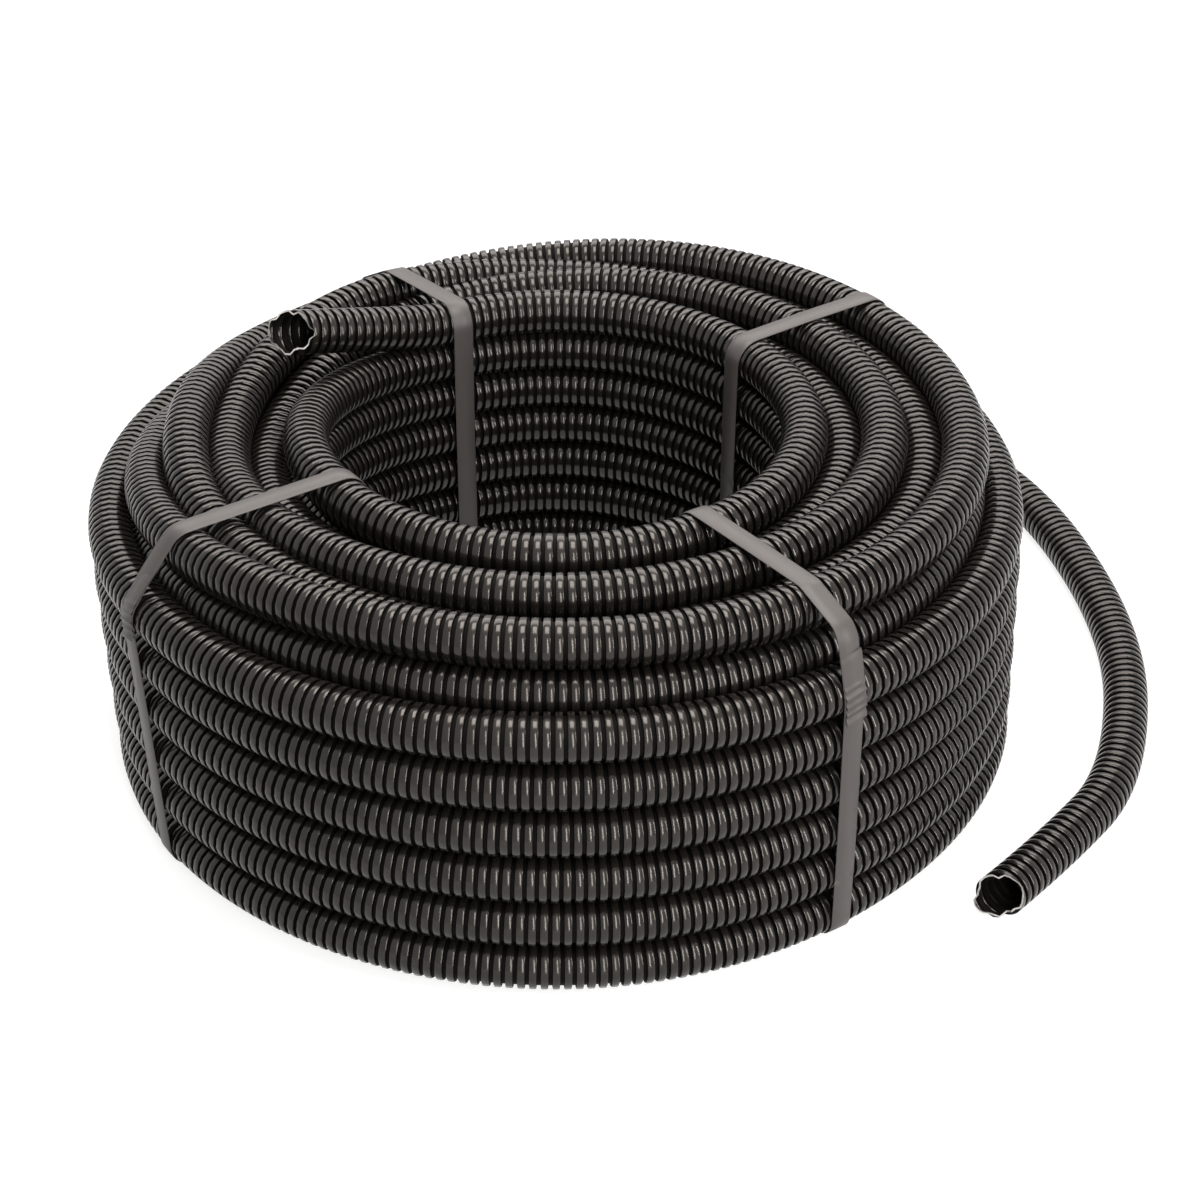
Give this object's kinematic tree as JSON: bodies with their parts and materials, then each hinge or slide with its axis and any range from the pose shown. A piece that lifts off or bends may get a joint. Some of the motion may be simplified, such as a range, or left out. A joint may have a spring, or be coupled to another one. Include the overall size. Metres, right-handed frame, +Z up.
{
  "type": "corrugated conduit coil",
  "caption": "Strapped coil of black corrugated plastic conduit, with one open end on top and the other lying loose on the floor.",
  "frame": {"origin": "on the floor, on the coil's axis", "axes": "+Z up along the coil's axis, -Y to the front, +X to the right, where the loose end lies"},
  "size_m": [0.5961, 0.5679, 0.2188],
  "materials": {
    "conduit": "satin",
    "strap": "satin"
  },
  "bodies": {
    "root": {"conduit_coil": "conduit", "conduit_top_end": "conduit", "conduit_tail": "conduit", "strap_front_left": "strap", "strap_back_left": "strap", "strap_back_right": "strap", "strap_front_right": "strap"}
  },
  "joints": []
}
